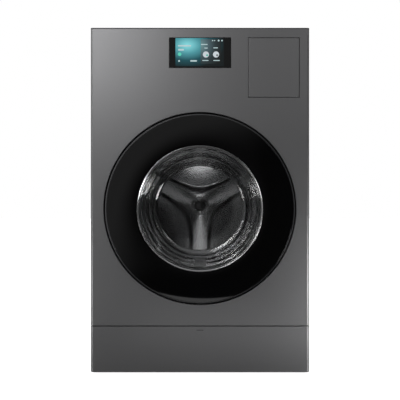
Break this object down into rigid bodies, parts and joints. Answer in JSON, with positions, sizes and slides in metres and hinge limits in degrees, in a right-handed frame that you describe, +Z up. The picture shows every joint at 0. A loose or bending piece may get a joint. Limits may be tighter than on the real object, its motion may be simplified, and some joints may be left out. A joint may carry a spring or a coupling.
{
  "type": "washer dryer",
  "caption": "Front-loading combined washer and heat-pump dryer: cabinet with a round glass door, sprung tub and direct-drive drum, detergent drawer, screen and lower filter cover.",
  "frame": {"origin": "on the floor under the middle of the machine's whole outline, feet screwed fully in", "axes": "+Z up, -Y out of the front (the door side), +X to the right as seen from the front"},
  "size_m": [0.686, 0.868, 1.086],
  "materials": {
    "cabinet_paint": "satin dark graphite steel finish",
    "zinc_sheet": "zinc-plated sheet",
    "dark_plastic": "moulded black plastic",
    "grey_plastic": "moulded grey plastic",
    "gasket_rubber": "soft grey rubber",
    "hose_rubber": "black rubber",
    "black_glass": "gloss black glass",
    "board_plastic": "circuit board",
    "fin_aluminium": "plain aluminium fins",
    "motor_steel": "plated steel",
    "compressor_iron": "black enamelled iron",
    "copper_pipe": "copper tube",
    "spring_steel": "plated spring steel",
    "tub_plastic": "moulded light grey plastic",
    "ballast": "cast ballast",
    "bearing_steel": "machined steel",
    "drum_steel": "polished stainless steel",
    "lifter_plastic": "light grey moulded baffle",
    "cast_aluminium": "rough cast aluminium",
    "rim_metal": "satin black rim",
    "trim_chrome": "polished trim",
    "clear_glass": "clear pressed glass",
    "foot_rubber": "black rubber pad on a steel stud"
  },
  "bodies": {
    "cabinet": {"base_frame": "zinc_sheet", "side_panel_left": "cabinet_paint", "side_panel_right": "cabinet_paint", "rear_panel": "zinc_sheet", "rear_service_cover": "zinc_sheet", "top_cover": "cabinet_paint", "front_panel": "cabinet_paint", "top_rails": "zinc_sheet", "door_well": "dark_plastic", "door_gasket": "gasket_rubber", "display_glass": "black_glass", "control_boards": "board_plastic", "drawer_housing": "grey_plastic", "inlet_valves": "grey_plastic", "internal_hoses": "hose_rubber", "drain_pump": "dark_plastic", "tub_bellows": "hose_rubber", "duct_housing": "dark_plastic", "heat_exchangers": "fin_aluminium", "fan_motor": "motor_steel", "compressor": "compressor_iron", "refrigerant_pipes": "copper_pipe", "suspension_springs": "spring_steel", "damper_cylinders": "dark_plastic", "door_lock": "dark_plastic", "hinge_bracket": "bearing_steel", "mains_gland": "dark_plastic", "panel_screws": "spring_steel"},
    "tub": {"tub_front": "tub_plastic", "tub_rear": "tub_plastic", "counterweights": "ballast", "bearings": "bearing_steel", "stator": "motor_steel", "damper_rods": "spring_steel"},
    "drum": {"drum_shell": "drum_steel", "drum_front_ring": "drum_steel", "drum_back": "drum_steel", "hub_cap": "drum_steel", "drum_lifters": "lifter_plastic", "drum_spider": "cast_aluminium", "drum_shaft": "bearing_steel", "rotor": "motor_steel"},
    "door": {"door_glass": "black_glass", "door_rim": "rim_metal", "window_trim": "trim_chrome", "door_bowl": "clear_glass", "door_frame": "dark_plastic", "hinge_leaf": "bearing_steel"},
    "latch": {"latch_hook": "grey_plastic"},
    "drawer": {"drawer_front": "cabinet_paint", "drawer_tray": "grey_plastic", "tank_lid": "grey_plastic"},
    "plinth": {"plinth_cover": "cabinet_paint"},
    "foot_fl": {"foot_front_left": "foot_rubber"},
    "foot_fr": {"foot_front_right": "foot_rubber"},
    "foot_rl": {"foot_rear_left": "foot_rubber"},
    "foot_rr": {"foot_rear_right": "foot_rubber"},
    "filter": {"filter_cap": "dark_plastic"},
    "impeller": {"pump_impeller": "dark_plastic"},
    "fan": {"fan_wheel": "dark_plastic"}
  },
  "joints": [
    {"name": "tub_bounce", "type": "slide", "parent": "cabinet", "child": "tub", "axis": [0, 0, 1], "range_m": [-0.01, 0.01], "stiffness_N_per_m": 60000, "springref_m": 0.00911, "deforming": ["suspension_springs", "door_gasket", "tub_bellows"]},
    {"name": "drum_spin", "type": "hinge", "parent": "tub", "child": "drum", "pos_m": [0, 0, 0.52], "axis": [0, 1, 0], "continuous": true},
    {"name": "door_swing", "type": "hinge", "parent": "cabinet", "child": "door", "pos_m": [-0.286, -0.4262, 0.52], "axis": [0, 0, -1], "range_deg": [0, 105]},
    {"name": "latch_pivot", "type": "hinge", "parent": "door", "child": "latch", "pos_m": [0.247, -0.41, 0.52], "axis": [0, 0, 1], "range_deg": [0, 8], "stiffness_Nm_per_rad": 0.5},
    {"name": "drawer_slide", "type": "slide", "parent": "cabinet", "child": "drawer", "axis": [0, -1, 0], "range_m": [0, 0.24]},
    {"name": "plinth_drop", "type": "hinge", "parent": "cabinet", "child": "plinth", "pos_m": [0, -0.411, 0.02], "axis": [1, 0, 0], "range_deg": [0, 90]},
    {"name": "filter_turn", "type": "hinge", "parent": "cabinet", "child": "filter", "pos_m": [-0.215, -0.382, 0.092], "axis": [0, 1, 0], "range_deg": [0, 90]},
    {"name": "pump_spin", "type": "hinge", "parent": "cabinet", "child": "impeller", "pos_m": [-0.215, -0.322, 0.092], "axis": [0, 1, 0], "continuous": true},
    {"name": "fan_spin", "type": "hinge", "parent": "cabinet", "child": "fan", "pos_m": [0.045, -0.107, 0.92], "axis": [0, 0, 1], "continuous": true},
    {"name": "foot_height_fl", "type": "slide", "parent": "cabinet", "child": "foot_fl", "axis": [0, 0, -1], "range_m": [0, 0.012]},
    {"name": "foot_height_fr", "type": "slide", "parent": "cabinet", "child": "foot_fr", "axis": [0, 0, -1], "range_m": [0, 0.012]},
    {"name": "foot_height_rl", "type": "slide", "parent": "cabinet", "child": "foot_rl", "axis": [0, 0, -1], "range_m": [0, 0.012]},
    {"name": "foot_height_rr", "type": "slide", "parent": "cabinet", "child": "foot_rr", "axis": [0, 0, -1], "range_m": [0, 0.012]}
  ]
}
